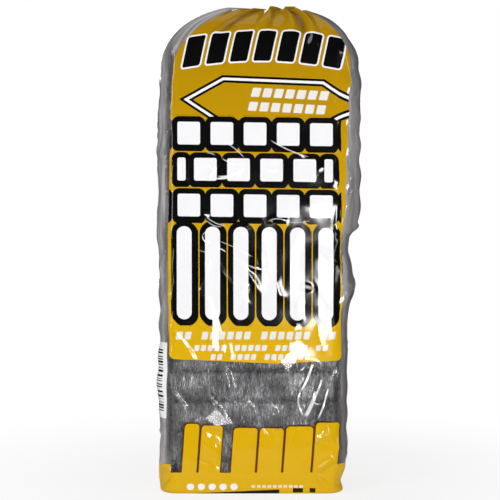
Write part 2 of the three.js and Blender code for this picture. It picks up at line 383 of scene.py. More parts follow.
def steel_wool_finish():
    """Matted steel fibre: fine grain along the winding, painted shade between the strands, with stray glints.
    """
    made = bpy.data.materials.new("steel_wool")
    made.use_nodes = True
    nodes, links = made.node_tree.nodes, made.node_tree.links
    steel = nodes["Principled BSDF"]
    wind = nodes.new("ShaderNodeUVMap")
    wind.uv_map = "wind"
    place = nodes.new("ShaderNodeTexCoord")

    def grain(name, along, across, detail, seed):
        turn = nodes.new("ShaderNodeMapping")
        turn.inputs["Scale"].default_value = (1 / along, 1 / across, 1)
        turn.inputs["Location"].default_value = (seed, seed * 1.7, 0)
        links.new(wind.outputs["UV"], turn.inputs["Vector"])
        pattern = nodes.new("ShaderNodeTexNoise")
        pattern.name = name
        pattern.inputs["Scale"].default_value = 1.0
        pattern.inputs["Detail"].default_value = detail
        pattern.inputs["Roughness"].default_value = 0.65
        links.new(turn.outputs["Vector"], pattern.inputs["Vector"])
        return pattern.outputs["Fac"]

    fine = grain("strands", 3.2 * MM, 0.42 * MM, 3.0, 3.0)
    coarse = grain("locks", 14 * MM, 1.9 * MM, 2.0, 11.0)
    clouds = nodes.new("ShaderNodeTexNoise")
    clouds.inputs["Scale"].default_value = 75.0
    clouds.inputs["Detail"].default_value = 3.0
    links.new(place.outputs["Object"], clouds.inputs["Vector"])

    def mixed(kind, a, b):
        node = nodes.new("ShaderNodeMath")
        node.operation = kind
        for socket, value in zip(node.inputs, (a, b)):
            if hasattr(value, "is_output"):
                links.new(value, socket)
            else:
                socket.default_value = value
        return node.outputs["Value"]

    height = mixed("ADD", mixed("MULTIPLY", fine, 0.62), mixed("MULTIPLY", coarse, 0.38))
    toned = mixed("ADD", mixed("MULTIPLY", height, 0.72), mixed("MULTIPLY", clouds.outputs["Fac"], 0.28))
    # the colour ramp's dark end is painted shade between the strands; the rest of its spread is grain and
    # random tone
    shade_and_tone = nodes.new("ShaderNodeValToRGB")
    ramp = shade_and_tone.color_ramp
    ramp.elements[0].position, ramp.elements[0].color = 0.38, (0.035, 0.035, 0.038, 1)
    ramp.elements[1].position, ramp.elements[1].color = 0.64, (0.98, 0.98, 1.0, 1)
    for at, grey in ((0.45, 0.09), (0.52, 0.205), (0.57, 0.37)):
        ramp.elements.new(at).color = (grey, grey, grey * 1.03, 1)
    links.new(toned, shade_and_tone.inputs["Fac"])
    links.new(shade_and_tone.outputs["Color"], steel.inputs["Base Color"])
    shine = nodes.new("ShaderNodeMapRange")
    shine.inputs["From Min"].default_value = 0.40
    shine.inputs["From Max"].default_value = 0.62
    shine.inputs["To Min"].default_value = 0.62
    shine.inputs["To Max"].default_value = 0.30
    links.new(fine, shine.inputs["Value"])
    links.new(shine.outputs["Result"], steel.inputs["Roughness"])
    steel.inputs["Metallic"].default_value = 0.85
    bump = nodes.new("ShaderNodeBump")
    bump.inputs["Strength"].default_value = 0.85
    bump.inputs["Distance"].default_value = 0.35 * MM
    links.new(height, bump.inputs["Height"])
    links.new(bump.outputs["Normal"], steel.inputs["Normal"])
    return made


wool = steel_wool_finish()
for number, node in enumerate(PAD_NODES, start=1):
    pad_low, pad_high = (Vector(c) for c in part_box(node))
    full = Vector((54 * MM, 36.25 * MM, (pad_high.z - pad_low.z) / 2))
    half = full - PAD_SHRINK
    if number == 1:
        half.x -= FIRST_DRAWN_IN
    draw = np.random.default_rng(400 + number)
    points, faces, uv, cap_uv = pad_body(half, number)
    uvs = [uv, np.array(cap_uv)]
    for region, count in (("folds", FIBRES_ON_FOLD), ("ends", FIBRES_ON_END)):
        more, strips, strip_uv = pad_fibres(half, count, region, draw)
        faces += [tuple(f) for f in strips + len(points)]
        points = np.concatenate([points, more])
        uvs.append(strip_uv)
    points[:, 0] += draw.uniform(-0.7, 0.7) * MM
    points[:, 1] += draw.uniform(-0.4, 0.4) * MM
    points[:, 2] += (pad_low.z + pad_high.z) / 2
    scale = drawn_in(points[:, 2] + 1.0 * MM)
    points[:, :2] *= scale[:, None]
    points[:, 0] += leans(points[:, 2])
    points[:, 2] = np.clip(points[:, 2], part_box(PAD_NODES[0])[0][2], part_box(PAD_NODES[-1])[1][2])
    pad = mesh_from(f"wool_{node}", points, faces, [np.concatenate(uvs)])
    pad.data.materials.append(wool)
    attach(pad, "root")
    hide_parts(node)


# The film sleeve. One tube of clear polyethylene film, printed on its face before filling, drawn over the
# column, folded like a parcel under the bottom pad and gathered in pleats above the top one. It is loose:
# it stands off in a fin down the right-hand edge, and it is crinkled all over.
FILM_HALF_X = 54.85 * MM
FILM_HALF_Y = 37.85 * MM
FILM_ROUND = 9.85 * MM
FILM_COLUMNS = 324
WALL_FOOT = 5 * MM
WALL_ROWS = 212
SHOULDER_ROWS = 44
CROWN_ROWS = 22
BASE_ROWS = 13
BASE_HOLE, BASE_SHARE = 0.02, 0.955  # shares of the outline at the middle of the base, and from there out
FOOT_SHRINK = 0.035  # how much smaller the outline is where the wall turns under
GATHER = Vector((22 * MM, 5 * MM, 283.2 * MM))
NECK_SHARE = 0.055
PLEATS = 13
FILM_LENGTH_ROUND = 4 * (FILM_HALF_X + FILM_HALF_Y - 2 * FILM_ROUND) + 2 * math.pi * FILM_ROUND


def film_outline(round_way):
    """Place and outward direction on the sleeve's outline, by the way round from the middle of the front."""
    flat_x, flat_y = FILM_HALF_X - FILM_ROUND, FILM_HALF_Y - FILM_ROUND
    bend = FILM_ROUND * math.pi / 2
    hand = np.where(round_way < 0, -1.0, 1.0)
    way = np.abs(round_way)
    behind = way > FILM_LENGTH_ROUND / 4
    way = np.where(behind, FILM_LENGTH_ROUND / 2 - way, way)
    turn = np.clip((way - flat_x) / bend, 0, 1) * math.pi / 2
    x = np.minimum(way, flat_x) + FILM_ROUND * np.sin(turn)
    y = -FILM_HALF_Y + FILM_ROUND * (1 - np.cos(turn)) + np.clip(way - flat_x - bend, 0, None)
    out_x, out_y = np.sin(turn), -np.cos(turn)
    front = np.where(behind, -1.0, 1.0)
    return x * hand, y * front, out_x * hand, out_y * front


def ease(value, start, end):
    """A smooth step from 0 at start to 1 at end."""
    share = np.clip((value - start) / (end - start), 0, 1)
    return share * share * (3 - 2 * share)


# The sleeve's rows, from the middle of its base to the tip of its neck. Each row has the share of the
# outline that it keeps, its height, how far it faces up, and how far it has moved to the gather.
rows = []
for share in np.linspace(0.0, 1.0, BASE_ROWS, endpoint=False):
    rows.append((BASE_HOLE + BASE_SHARE * share, 0.0, -1.0, 0.0))
for turn in np.radians([8, 28, 48, 68]):
    share = 1 - FOOT_SHRINK * (1 - math.sin(turn))
    rows.append((share, WALL_FOOT * (1 - math.cos(turn)) * 0.5, -math.cos(turn), 0.0))
for z in np.linspace(WALL_FOOT * 0.6, SHOULDER_START, WALL_ROWS):
    rows.append((1.0, z, 0.0, 0.0))
for turn in np.radians(np.linspace(1.6, 64, SHOULDER_ROWS)):
    share = math.cos(turn) ** (2 / SHOULDER_POWER)
    rise = math.sin(turn) ** (2 / SHOULDER_POWER)
    rows.append((share, SHOULDER_START + SHOULDER_RISE * rise, rise**2, 0.0))
last_share, last_z = rows[-1][0], rows[-1][1]
for step in np.linspace(0, 1, CROWN_ROWS + 1)[1:]:
    lift = math.sin(step * math.pi / 2)
    rows.append((last_share + (NECK_SHARE - last_share) * step,
                 last_z + (GATHER.z - 1.2 * MM - last_z) * lift, 1.0, step))
for share, z in ((0.051, 284.2), (0.053, 285.0), (0.060, 285.7), (0.054, 286.1), (0.02, 285.6)):
    rows.append((share, z * MM, 0.6, 1.0))
keeps, heights, faces_up, drifts = (np.array(column)[:, None] for column in zip(*rows))

round_way = (np.arange(FILM_COLUMNS) / FILM_COLUMNS - 0.5)[None, :] * FILM_LENGTH_ROUND
edge_x, edge_y, out_x, out_y = film_outline(round_way)
film_x = edge_x * keeps + GATHER.x * drifts + leans(heights) * (1 - drifts)
film_y = edge_y * keeps + GATHER.y * drifts
film_z = heights + 0 * edge_x
level = np.sqrt(np.clip(1 - faces_up**2, 0, 1))
away = np.stack([out_x * level, out_y * level, faces_up + 0 * out_x], -1)
spots = np.stack([film_x, film_y, film_z], -1)
up_sheet = np.concatenate([[0], np.cumsum(np.linalg.norm(np.diff(spots[:, 0], axis=0), axis=1))])[:, None]
up_sheet = up_sheet - up_sheet[BASE_ROWS + 4] + WALL_FOOT * 0.6 + 0 * round_way
wall = ease(film_z, 1 * MM, 9 * MM) * ease(-film_z, -268 * MM, -250 * MM)

# The loose film: broad waves, a swell at each pad, and the pull-in where two pads meet.
flat_spots = spots.reshape(-1, 3)
on_face = ease(-np.abs(round_way), -54 * MM, -44 * MM)
tight = on_face * ease(film_z, 205 * MM, 222 * MM)  # the film is drawn smooth over the top of the face
waves = rough(flat_spots, 38 * MM, 21).reshape(film_z.shape) * (1.0 - 0.45 * on_face)
ripples = rough(flat_spots, 13 * MM, 22).reshape(film_z.shape) * (0.40 - 0.18 * on_face) * (1 - 0.8 * tight)
stack_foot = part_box(PAD_NODES[0])[0][2]
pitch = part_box(PAD_NODES[1])[0][2] - stack_foot
swell = np.cos((film_z - stack_foot) / pitch * 2 * math.pi + math.pi)
uneven = 0.6 + 0.4 * np.sin(film_z / (31 * MM) + round_way / (40 * MM))
swell = swell * (0.10 + 0.46 * np.abs(out_x)) * uneven
slack = (waves + ripples + 0.5) * (0.25 + 0.75 * wall) + swell * wall

# The two edges of the sleeve, as they stand off the column at heights in millimetres.
right_edge = np.interp(film_z / MM, (0, 9, 20, 98, 110, 119, 128, 141, 149, 153, 160, 178, 236, 250, 264),
                       (-3.2, -2.4, -0.5, -0.5, 0.9, 3.1, 2.2, 0.4, 0.6, 2.8, 3.8, 4.3, 4.4, 3.0, 0.0))
left_edge = np.interp(film_z / MM, (0, 18, 32, 45, 53, 68, 80, 92, 118, 135, 160, 192, 212, 243, 262),
                      (-0.8, 0.3, -0.9, -0.9, 0.3, 1.1, -0.3, -0.9, -0.9, -0.2, 0.4, 0.4, -0.4, -0.9, 0.0))
at_side = ease(np.abs(out_x), 0.25, 0.95)
edge_off = np.where(out_x > 0, right_edge, left_edge) * at_side
fin = ease(film_z, 149 * MM, 157 * MM) * ease(-film_z, -256 * MM, -238 * MM)
fin_face = np.exp(-(((round_way - 60 * MM) / (7.5 * MM)) ** 2)) * fin

# Pleats that run up over the shoulders to the gather, deeper as they close on it.
draw = np.random.default_rng(77)
pleat_at = (np.arange(PLEATS) + draw.uniform(-0.33, 0.33, PLEATS)) / PLEATS * FILM_LENGTH_ROUND
pleat_foot = draw.uniform(248, 272, PLEATS) * MM
pleat_wide = draw.uniform(3.0, 9.5, PLEATS) * MM
pleat_high = draw.uniform(0.5, 2.1, PLEATS)
pleats = 0 * film_z
for at, foot, wide, tall in zip(pleat_at, pleat_foot, pleat_wide, pleat_high):
    aside = (round_way - at + FILM_LENGTH_ROUND / 2) % FILM_LENGTH_ROUND - FILM_LENGTH_ROUND / 2
    ridge = np.exp(-np.abs(aside / wide) ** 1.35)
    pleats += ridge * tall * ease(film_z, foot, foot + 24 * MM)
pleats *= 1 - 0.72 * drifts**1.5
# the folds that show most from the front, with the valley that runs down beside the gather
for at, leaning, wide, tall in ((33.5, 0.12, 3.2, 2.0), (20.0, 0.12, 3.6, 1.7), (27.0, 0.12, 2.5, -1.5),
                                (-31.0, 0.50, 2.4, 1.5), (-26.0, 0.50, 2.4, -0.9), (-6.0, 0.35, 3.0, 0.9)):
    aside = round_way / MM - at - (up_sheet / MM - 262) * leaning
    pleats += ease(film_z, 252 * MM, 270 * MM) * (1 - drifts) * tall * np.exp(-((aside / wide) ** 2))


def crease(start, end, bow, wide, tall):
    """A ridge in the film along a bowed line between two places on the sheet, in millimetres."""
    start, end = np.array(start) * MM, np.array(end) * MM
    chord = end - start
    length = math.hypot(*chord)
    along_x, along_y = chord / length
    over = (round_way - start[0] + FILM_LENGTH_ROUND / 2) % FILM_LENGTH_ROUND - FILM_LENGTH_ROUND / 2
    up = up_sheet - start[1]
    share = (over * along_x + up * along_y) / length
    aside = up * along_x - over * along_y - bow * MM * 4 * share * (1 - share)
    taper = ease(share, -0.02, 0.25) * ease(-share, -1.02, -0.72)
    return tall * np.exp(-((aside / (wide * MM)) ** 2)) * taper


# The creases that show most. Each runs between two places on the sheet, with its bow, half width and height,
# and how strong the painted highlight along it is, from 0 to 1: painted glints, with some of the whitening of
# sharply bent film.
CREASES = (
    # across the upper courses of the print
    ((-17.3, 203.9), (-5.3, 194.5), 0.8, 0.36, 0, 0.5),
    ((-26.5, 197.3), (-22.4, 196.3), 0.3, 0.34, 0, 0.5),
    ((-18, 194.2), (-5.3, 190.4), -1.1, 0.42, 0, 0.62),
    ((-26.2, 190.4), (-23.3, 186.6), 0.4, 0.4, 0, 0.62),
    ((-22.4, 182.6), (-6.3, 188.2), -1.8, 0.62, 0.5, 0.85),
    ((-20, 183.2), (-12, 184.6), -0.5, 1.3, 0.3, 0.75),
    ((9.9, 204.5), (31.4, 195.1), -0.9, 0.42, 0.5, 0.62),
    ((7.3, 187.5), (15.4, 188.1), -0.5, 0.95, 0.3, 0.5),
    ((-27.1, 160.5), (-16.1, 155.4), -0.8, 0.36, 0, 0.55),
    ((-27, 158.7), (-18.3, 155), -1.1, 0.34, 0, 0.5),
    ((8.4, 158.2), (20, 157.6), 1.7, 0.45, 0.4, 0.4),
    ((20, 157.6), (33, 158.6), -0.6, 0.4, 0, 0.25),
    # across the bars
    ((-29.4, 149.6), (-25.5, 145.5), -1, 0.45, 0.3, 0.85),
    ((-29.4, 149.6), (-25.4, 153), 0.7, 0.36, 0, 0.45),
    ((-20.8, 142.7), (-16.1, 140.6), 0.4, 0.4, 0, 0.8),
    ((-19.9, 146.8), (-0.3, 137.6), 0.5, 0.3, 0.3, 0.38),
    ((-11, 137), (2.8, 131), -0.7, 0.38, 0.2, 0.5),
    ((-2, 132), (11, 130.4), -0.8, 0.4, 0.3, 0.55),
    ((-32, 141.6), (-22, 140), -0.4, 0.3, 0, 0.28),
    ((5, 143.6), (10.2, 139.4), 0.4, 0.34, 0, 0.35),
    ((5.2, 137.4), (10.4, 133.6), 0.3, 0.32, 0, 0.3),
    ((6, 127.4), (9.2, 121.2), 0.3, 0.34, 0, 0.3),
    ((9.6, 139), (7.4, 118), -1.2, 0.32, 0, 0.3),
    ((27, 120.8), (34, 119.4), 0.3, 1.3, 0.4, 0.32),
    # down the window: long folds at its right, fainter ones at its left
    ((34.4, 77), (26.9, 59.3), 0.7, 1.05, 0.9, 1),
    ((27.2, 60.6), (29.6, 45.2), -2.4, 0.95, 0.8, 0.85),
    ((39.9, 68.4), (30.2, 44.9), 0.6, 0.9, 1, 0.95),
    ((36.3, 60), (29.6, 44.4), 0.4, 1.7, 0.6, 1),
    ((43.4, 63), (37.2, 43.4), 0.5, 0.8, 0.9, 0.95),
    ((34.6, 54.6), (38.4, 52.6), -0.9, 0.6, 0.3, 0.9),
    ((26.2, 72), (29.4, 74.6), -0.9, 0.6, 0, 1),
    ((50.3, 75.6), (46.4, 64), 0.4, 0.42, 0.8, 0.35),
    ((-47.6, 61), (-38, 47), 0.6, 0.9, 0.4, 0.26),
    ((-18.3, 76), (-12.2, 47), 1.6, 1.7, 0.6, 0.2),
    # at the folded lower corners, and where the loose edges of the sleeve pull
    ((36, 12), (49, 21), 0.8, 1.4, 1.3, 0),
    ((36, 12), (48, 1), -0.6, 1.4, 1.2, 0),
    ((-45, 11), (-56, 20), 0.6, 1.3, 0.9, 0),
    ((-45, 11), (-54, 1), 0.6, 1.3, 0.9, 0),
    ((-50, 215), (-56, 190), 0.5, 1.5, 0.8, 0),
    ((-49, 120), (-58, 100), 0.5, 1.5, 0.8, 0),
    ((52, 150), (66, 156), 1.5, 1.5, 1.2, 0),
    ((50, 105), (62, 128), 1.5, 1.8, 1.3, 0),
)
FINEST = 1.2  # half width of the narrowest ridge that the film's mesh can carry
GLINT_REACH = 1.8  # how far beside its line a crease's painted highlight has its full strength on the mesh
GLINT_CLEAR = 3.7  # how far from it the same map holds no other crease
GLINT_MAPS = 4  # creases that lie close together go into different maps
NO_CREASE = 9.0  # what a map says away from its creases, in half widths
crease_glint_maps = [[np.full_like(film_z, NO_CREASE), 0 * film_z] for _ in range(GLINT_MAPS)]
taken = [np.zeros(film_z.shape, dtype=bool) for _ in range(GLINT_MAPS)]
creases = 0 * film_z
for start, end, bow, wide, tall, glint in CREASES:
    creases += crease(start, end, bow, max(wide, FINEST), tall)
    run = np.array(end) - start
    length = math.hypot(*run)
    over, up = round_way / MM - start[0], up_sheet / MM - start[1]
    share = (over * run[0] + up * run[1]) / length**2
    arc = share * (1 - share)
    aside = (up * run[0] - over * run[1]) / length - 4 * bow * arc
    strength = np.clip(arc * 9, 0, 1) * glint * (np.abs(aside) < GLINT_REACH + wide)
    around = (np.abs(aside) < GLINT_CLEAR + wide) & (np.abs(share - 0.5) * length < length / 2 + 2.0)
    for (way_off, amount), filled in zip(crease_glint_maps, taken):
        if glint > 0 and not np.any(filled & around):
            way_off[around] = (aside / wide)[around]
            amount += strength
            filled |= around
            break
SMALL_CREASES = 190
for _ in range(SMALL_CREASES):
    where = draw.uniform(-175, 175), draw.uniform(8, 262)
    lean = draw.normal(math.pi / 2, 0.5) if draw.random() < 0.55 else draw.uniform(0, math.pi)
    half_long = draw.uniform(5, 20)
    reach = half_long * math.cos(lean), half_long * math.sin(lean)
    printed = abs(where[0]) < 50 and 75 < where[1] < 250
    tall = draw.uniform(0.10, 0.30) if printed else draw.uniform(0.25, 0.85)
    tall *= 0.15 if printed and where[1] > 205 else 1.0
    creases += crease((where[0] - reach[0], where[1] - reach[1]), (where[0] + reach[0], where[1] + reach[1]),
                      draw.uniform(-2.5, 2.5), draw.uniform(0.9, 2.0), tall)
corner_dent = np.exp(-(((np.abs(round_way) - 52 * MM) / (6 * MM)) ** 2)) * ease(-film_z, -19 * MM, -6 * MM)

off = slack + edge_off + (creases - 0.9 * corner_dent) * (wall + 0.25) + pleats

# Three flat facets, where the taut film stands off the pads and mirrors the light in one piece. Each has
# its corners in turn, how much it falls away to its right and upwards, and how far it stands off.
FACETS = (
    (((-35.0, 43.6), (-21.4, 54.0), (-8.6, 39.0), (-22.4, 36.0)), 0.105, 0.100, 1.5),
    (((-27.4, 83.0), (-26.4, 116.0), (-22.2, 116.0), (-16.8, 94.0), (-16.8, 78.0)), 0.106, 0.030, 0.9),
    (((10.5, 77.4), (27.0, 91.4), (32.0, 87.0), (26.6, 74.6), (20.0, 65.6)), 0.052, 0.055, 1.0),
)
FACET_EDGE = (-1.2, 3.0)  # from where to where, inward, the film comes round to the flat
for corners, falls_right, falls_up, stands_off in FACETS:
    corners = np.array(corners)
    middle = corners.mean(0)
    from_x, from_z = round_way / MM - middle[0], up_sheet / MM - middle[1]
    inside = np.full_like(off, 1.0) * ease(-np.abs(round_way), -60 * MM, -59 * MM)
    for here, there in zip(corners - middle, np.roll(corners - middle, -1, axis=0)):
        along = (there - here) / math.hypot(*(there - here))
        depth = (from_x - here[0]) * along[1] - (from_z - here[1]) * along[0]
        inside = inside * ease(depth, *FACET_EDGE)
    plane = stands_off - falls_right * from_x - falls_up * from_z
    off = off * (1 - inside) + plane * inside

PRESSED_IN = -0.75  # as far in as the pads let the film lie, in millimetres
FOOT_PRESSED_IN = -1.6  # further in, at the sides of the narrower bottom pad
least = PRESSED_IN + FOOT_PRESSED_IN * ease(-film_z, -14 * MM, -5 * MM) * at_side
off = np.where(film_z < SHOULDER_START, np.maximum(off, least), np.maximum(off, -0.2))
off *= ease(film_z, -0.5 * MM, 7 * MM) * (1 - 0.75 * drifts**4)
spots = spots + away * (off * MM)[..., None]
FIN_OUT = 2.0 * MM
FIN_FORWARD = 3.2 * MM
FOOT_DRAWN_IN = 1.9 * MM  # at the lower right corner, by the fold under the base
spots[..., 0] += fin_face * FIN_OUT
spots[..., 1] -= fin_face * FIN_FORWARD
drawn_share = np.clip(spots[..., 0] / FILM_HALF_X, 0, 1) ** 3
spots[..., 0] -= FOOT_DRAWN_IN * drawn_share * ease(-film_z, -18 * MM, -3 * MM)

# The folds under the base: a back flap, the two gussets over it, and the front flap over all.
under = ease(-film_z, -0.6 * MM, -0.1 * MM)
flap_edge = spots[..., 1] + np.maximum(0, np.abs(spots[..., 0]) - 30 * MM)
front_flap = ease(flap_edge, 12 * MM, 13 * MM)
gusset = ease(np.abs(spots[..., 0]) - np.abs(spots[..., 1]), 17 * MM, 18 * MM)
spots[..., 2] += under * (0.35 * MM * front_flap + 0.30 * MM * gusset) * (keeps < 0.93)
spots[..., 2] = np.maximum(spots[..., 2], low.z)

film_faces = grid_faces(len(rows), FILM_COLUMNS)
column = film_faces % FILM_COLUMNS
across = round_way[0][column]
across[:, 1] += np.where(column[:, 1] < column[:, 0], FILM_LENGTH_ROUND, 0)
across[:, 2] += np.where(column[:, 2] < column[:, 3], FILM_LENGTH_ROUND, 0)
row_of = film_faces // FILM_COLUMNS
sheet_uv = np.stack([across, up_sheet[:, 0][row_of]], -1) / MM
face_uv = np.stack([across * keeps[:, 0][row_of], heights[:, 0][row_of]], -1) / MM
glint_uvs = [np.stack([m.reshape(-1)[film_faces] for m in pair], -1).reshape(-1, 2) for pair in crease_glint_maps]
GLINT_NAMES = [f"white_{number}" for number in range(GLINT_MAPS)]
sleeve = mesh_from("film", spots.reshape(-1, 3), film_faces, [sheet_uv, face_uv, *glint_uvs],
                   ("sheet", "face", *GLINT_NAMES))


def film_finish():
    """Clear glossy film, with the ink fields printed on it: yellow, black and white."""
    made = bpy.data.materials.new("printed_film")
    made.use_nodes = True
    nodes, links = made.node_tree.nodes, made.node_tree.links
    film = nodes["Principled BSDF"]

    def put(socket, value):
        if hasattr(value, "is_output"):
            links.new(value, socket)
        else:
            socket.default_value = value

    def calc(kind, *values):
        node = nodes.new("ShaderNodeMath")
        node.operation = kind
        for socket, value in zip(node.inputs, values):
            put(socket, value)
        return node.outputs["Value"]

    def plus(a, b):
        return calc("ADD", a, b)

    def minus(a, b):
        return calc("SUBTRACT", a, b)

    def times(a, b):
        return calc("MULTIPLY", a, b)

    def less(a, b):
        """1 where a is below b, 0 elsewhere."""
        return calc("LESS_THAN", a, b)

    def unsigned(a):
        return calc("ABSOLUTE", a)

    def paint(under_colour, mask, colour):
        node = nodes.new("ShaderNodeMix")
        node.data_type = "RGBA"
        put(node.inputs["Factor"], mask)
        put(node.inputs[6], under_colour)
        put(node.inputs[7], colour)
        return node.outputs[2]

    def spread_out(name):
        coordinates = nodes.new("ShaderNodeUVMap")
        coordinates.uv_map = name
        parts = nodes.new("ShaderNodeSeparateXYZ")
        links.new(coordinates.outputs["UV"], parts.inputs["Vector"])
        return coordinates.outputs["UV"], parts.outputs["X"], parts.outputs["Y"]

    sheet, sheet_x, sheet_y = spread_out("sheet")
    _, x, z = spread_out("face")

    def span(value, start, end):
        """1 between start and end, 0 outside."""
        middle = minus(value, (start + end) / 2)
        return less(unsigned(middle), (end - start) / 2)

    def both(a, b):
        """1 where two masks, from 0 to 1, are both 1."""
        return times(a, b)

    def block(at_x, at_z, half_x, half_z, corner):
        """How far a point lies outside a round-cornered block, given its place from the block's middle."""
        over = calc("MAXIMUM", minus(unsigned(at_x), half_x - corner), 0.0)
        up = calc("MAXIMUM", minus(unsigned(at_z), half_z - corner), 0.0)
        far = calc("SQRT", plus(times(over, over), times(up, up)))
        return minus(far, corner)

    def repeat(value, pitch, phase=0.0):
        """Place from the middle of the nearest cell of a row, and the cell's number."""
        cell = calc("ROUND", calc("DIVIDE", minus(value, phase), pitch))
        return minus(minus(value, phase), times(cell, pitch)), cell

    YELLOW = (0.72, 0.425, 0.0, 1)
    # the second yellow is the same ink darkened by painted shade, used towards the top of the sleeve
    YELLOW_SHADED_TOP = (0.43, 0.232, 0.0, 1)
    BLACK = (0.002, 0.002, 0.002, 1)
    WHITE = (0.88, 0.87, 0.88, 1)
    CREAM = (0.80, 0.77, 0.70, 1)
    OUTLINE = 3.2

    # the yellow panel, on the front and plain on the back, and the base band
    PANEL_FOOT = 76.0
    PANEL_HALF = 49.8
    PANEL_TALL = 130.0  # half of its height, past the gather
    BACK_PANEL_HALF = 47.0
    BAND_TALL = 12.6
    BAND_STEP = 4.6  # the band is taller at the sleeve's edges

    def ramp(value, from_low, from_high, to_low, to_high):
        node = nodes.new("ShaderNodeMapRange")
        node.interpolation_type = "SMOOTHSTEP"
        for socket, number in zip(list(node.inputs)[1:5], (from_low, from_high, to_low, to_high)):
            socket.default_value = number
        put(node.inputs["Value"], value)
        return node.outputs["Result"]

    wavy = times(calc("SINE", calc("DIVIDE", sheet_y, 17.0)), 0.5)
    from_dip = unsigned(minus(x, 12.0))
    panel_low = plus(PANEL_FOOT, times(from_dip, 0.045))
    panel_middle = ramp(z, 178.0, 236.0, 0.9, 3.2)
    narrowed = ramp(z, 246.0, 285.0, 0.0, 7.0)
    from_middle = unsigned(minus(plus(sheet_x, wavy), panel_middle))
    in_panel = block(plus(from_middle, narrowed), minus(z, plus(panel_low, PANEL_TALL)),
                     PANEL_HALF, PANEL_TALL, 3.0)
    front_panel = less(in_panel, 0.0)
    behind = minus(FILM_LENGTH_ROUND / MM / 2, unsigned(sheet_x))
    back_panel = both(less(behind, BACK_PANEL_HALF), calc("GREATER_THAN", z, PANEL_FOOT))
    panel = calc("MAXIMUM", front_panel, back_panel)
    at_corner = calc("GREATER_THAN", unsigned(x), 48.0)
    band_top = plus(BAND_TALL, times(at_corner, BAND_STEP))
    base_band = less(z, band_top)

    # painted shade: the yellow darkens from the window up to the crown, where the film turns back from the
    # light
    shade_up = nodes.new("ShaderNodeMapRange")
    shade_up.inputs["From Min"].default_value = 80.0
    shade_up.inputs["From Max"].default_value = 262.0
    put(shade_up.inputs["Value"], z)
    colour = paint(YELLOW, shade_up.outputs["Result"], YELLOW_SHADED_TOP)
    on_front = less(unsigned(sheet_x), 58.0)

    # the pleats' valleys below the gather, darkened with painted shade where the folds turn from the light
    VALLEY_SHADE = (0.12, 0.055, 0.006, 1)
    over_shoulder = minus(sheet_y, 262.0)
    for at, leaning, wide, depth in (
            (27.0, 0.12, 4.6, 0.85), (-27.0, 0.50, 5.0, 0.70), (3.0, 0.25, 3.5, 0.35)):
        aside = minus(minus(sheet_x, at), times(over_shoulder, leaning))
        valley_shade = ramp(unsigned(aside), 0.0, wide, depth, 0.0)
        colour = paint(colour, both(valley_shade, ramp(sheet_y, 258.0, 274.0, 0.0, 1.0)), VALLEY_SHADE)

    # a long six-sided frame, black on both sides of white
    beside = unsigned(minus(x, 10.5))
    beyond = unsigned(minus(plus(z, times(x, 0.04)), 226.3))
    slanted = plus(times(beside, 0.52), times(beyond, 0.85))
    slanted = minus(slanted, 25.6)
    frame_line = unsigned(calc("MAXIMUM", slanted, minus(beyond, 12.6)))
    colour = paint(colour, both(on_front, less(frame_line, 2.1)), BLACK)
    colour = paint(colour, both(on_front, less(frame_line, 0.75)), WHITE)

    # two rows of small white blocks inside the frame
    for middle_z, centre in ((232.0, 20.6), (223.9, 19.2)):
        fallen = minus(plus(z, times(x, 0.05)), middle_z)
        local, cell = repeat(minus(x, times(fallen, 0.22)), 6.5, centre)
        small = less(block(local, fallen, 2.45, 2.6, 0.6), 0.0)
        colour = paint(colour, both(small, less(unsigned(cell), 3.5)), CREAM)

    # an arched row of black blocks with white edges
    ARCH_CROWN = 258.6
    ARCH_SPREAD = 21.5  # how far to the side the arch has fallen by one millimetre
    fallen = calc("POWER", calc("DIVIDE", minus(x, 2.0), ARCH_SPREAD), 2.0)
    arch = minus(z, minus(ARCH_CROWN, fallen))
    local, cell = repeat(minus(x, times(arch, 0.10)), 13.4, 3.9)
    apart = block(local, arch, 4.9, 8.7, 1.2)
    seven = both(less(unsigned(cell), 3.5), on_front)
    colour = paint(colour, both(seven, less(apart, 0.95)), WHITE)
    colour = paint(colour, both(seven, less(apart, 0.0)), BLACK)

    # three courses of white bricks, outlined in black, the middle one with a half brick at each end
    COURSE_PITCH = 20.6
    BRICK_PITCH = 19.0
    BRICK_HALF = 6.5
    HALF_BRICK_AT = 42.2
    PRINT_SLOPE = 0.012  # the printing falls a little to the right
    down = minus(z, minus(187.6, times(x, PRINT_SLOPE)))
    course_z, course = repeat(down, COURSE_PITCH)
    middle_course = less(unsigned(course), 0.5)
    print_x = minus(x, 0.9)
    outer_x, _ = repeat(print_x, BRICK_PITCH)
    from_joint = unsigned(minus(unsigned(print_x), BRICK_PITCH))
    whole_x = minus(from_joint, BRICK_PITCH / 2)
    half_x = minus(unsigned(print_x), HALF_BRICK_AT)

    def bricks(below):
        """How far a point lies outside the bricks, when they are moved down by a distance."""
        course_at = plus(course_z, below)
        outer = block(outer_x, course_at, BRICK_HALF, BRICK_HALF, 1.2)
        whole = block(whole_x, course_at, BRICK_HALF, BRICK_HALF, 1.2)
        cut = block(half_x, course_at, 2.4, 6.6, 1.2)
        inner = calc("MINIMUM", whole, cut)
        return plus(both(outer, minus(1.0, middle_course)), both(inner, middle_course))

    near = bricks(0.0)
    edged = less(calc("MINIMUM", near, bricks(1.1)), OUTLINE)
    inside = both(less(unsigned(down), 31.0), less(unsigned(x), 49.6))
    colour = paint(colour, both(inside, edged), BLACK)
    colour = paint(colour, both(inside, less(near, 0.0)), WHITE)

